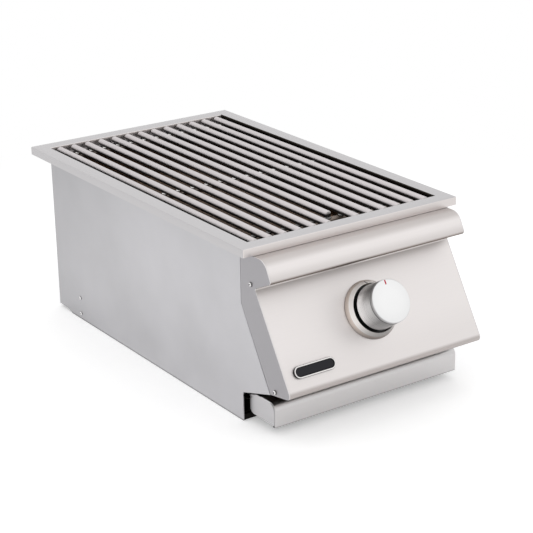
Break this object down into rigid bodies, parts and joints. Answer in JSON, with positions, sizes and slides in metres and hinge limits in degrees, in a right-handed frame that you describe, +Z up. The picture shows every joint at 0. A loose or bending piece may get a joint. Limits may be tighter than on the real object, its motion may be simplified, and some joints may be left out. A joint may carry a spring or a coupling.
{
  "type": "built-in side burner",
  "caption": "Slide-in outdoor side burner: flat rim with a rod grate over an infrared burner, sloped front with a rounded nose and a push-and-turn knob, and a pull-out drip tray.",
  "frame": {"origin": "middle of the underside of the rim's rear edge, where the rim rests on the counter", "axes": "+Y to the back, +Z up, +X to the right as seen by a person who stands at the knob"},
  "size_m": [0.339, 0.6409, 0.243],
  "materials": {
    "rim_steel": "satin",
    "panel_steel": "satin",
    "side_steel": "satin",
    "cheek_steel": "satin",
    "tray_steel": "satin",
    "rod_steel": "polished",
    "plain_steel": "plain",
    "bright_steel": "polished",
    "bezel_metal": "satin",
    "knob_metal": "satin",
    "brass": "plain",
    "badge_black": "gloss",
    "tile_ceramic": "matt",
    "igniter_plastic": "matt",
    "wire_sleeve": "matt",
    "electrode_ceramic": "gloss"
  },
  "bodies": {
    "casing": {"rim_frame": "rim_steel", "left_side_panel": "side_steel", "right_side_panel": "side_steel", "rear_panel": "side_steel", "floor_panel": "plain_steel", "control_panel": "panel_steel", "left_cheek": "cheek_steel", "right_cheek": "cheek_steel", "left_front_bracket": "plain_steel", "right_front_bracket": "plain_steel", "cheek_screws": "bright_steel", "side_rivets": "bright_steel", "badge_rim": "panel_steel", "badge_plate": "badge_black", "firebox_front": "plain_steel", "firebox_rear": "plain_steel", "firebox_left": "plain_steel", "firebox_right": "plain_steel", "firebox_floor": "plain_steel", "burner_plenum": "plain_steel", "tile_frame": "plain_steel", "front_burner_rail": "plain_steel", "rear_burner_rail": "plain_steel", "diffuser_plate": "plain_steel", "venturi_tube": "plain_steel", "bezel": "bezel_metal", "bezel_screws": "bright_steel", "valve_body": "brass", "valve_bonnet": "brass", "orifice_spud": "brass", "supply_pipe": "plain_steel", "supply_nut": "brass", "gas_inlet": "brass", "inlet_nut": "brass", "pipe_clip": "plain_steel", "piezo_igniter": "igniter_plastic", "igniter_wire": "wire_sleeve", "igniter_electrode": "electrode_ceramic", "igniter_bracket": "plain_steel", "left_tray_runner": "plain_steel", "right_tray_runner": "plain_steel", "ceramic_tile_1": "tile_ceramic", "ceramic_tile_2": "tile_ceramic", "ceramic_tile_3": "tile_ceramic", "ceramic_tile_4": "tile_ceramic", "ceramic_tile_5": "tile_ceramic", "ceramic_tile_6": "tile_ceramic"},
    "valve_plug": {"valve_plug": "brass", "valve_spring": "bright_steel"},
    "knob": {"knob": "knob_metal", "valve_stem": "bright_steel", "spring_washer": "bright_steel"},
    "grate": {"grate_rods": "rod_steel", "cross_rods": "rod_steel"},
    "drip_tray": {"tray_pan": "tray_steel", "tray_front": "tray_steel"},
    "air_shutter": {"air_shutter": "plain_steel", "shutter_screw": "bright_steel"}
  },
  "joints": [
    {"name": "knob_turn", "type": "hinge", "parent": "casing", "child": "valve_plug", "pos_m": [0, -0.58103, -0.0968], "axis": [0, -0.8545, 0.5195], "range_deg": [0, 210]},
    {"name": "knob_push", "type": "slide", "parent": "valve_plug", "child": "knob", "axis": [0, 0.8545, -0.5195], "range_m": [0, 0.003], "stiffness_N_per_m": 2000, "springref_m": -0.004, "deforming": ["valve_spring"]},
    {"name": "grate_lift", "type": "slide", "parent": "casing", "child": "grate", "axis": [0, 0, 1], "range_m": [0, 0.12]},
    {"name": "tray_slide", "type": "slide", "parent": "casing", "child": "drip_tray", "axis": [0, -1, 0], "range_m": [0, 0.4]},
    {"name": "shutter_turn", "type": "hinge", "parent": "casing", "child": "air_shutter", "pos_m": [0, -0.5205, -0.1168], "axis": [0, 1, 0], "range_deg": [0, 60]}
  ]
}
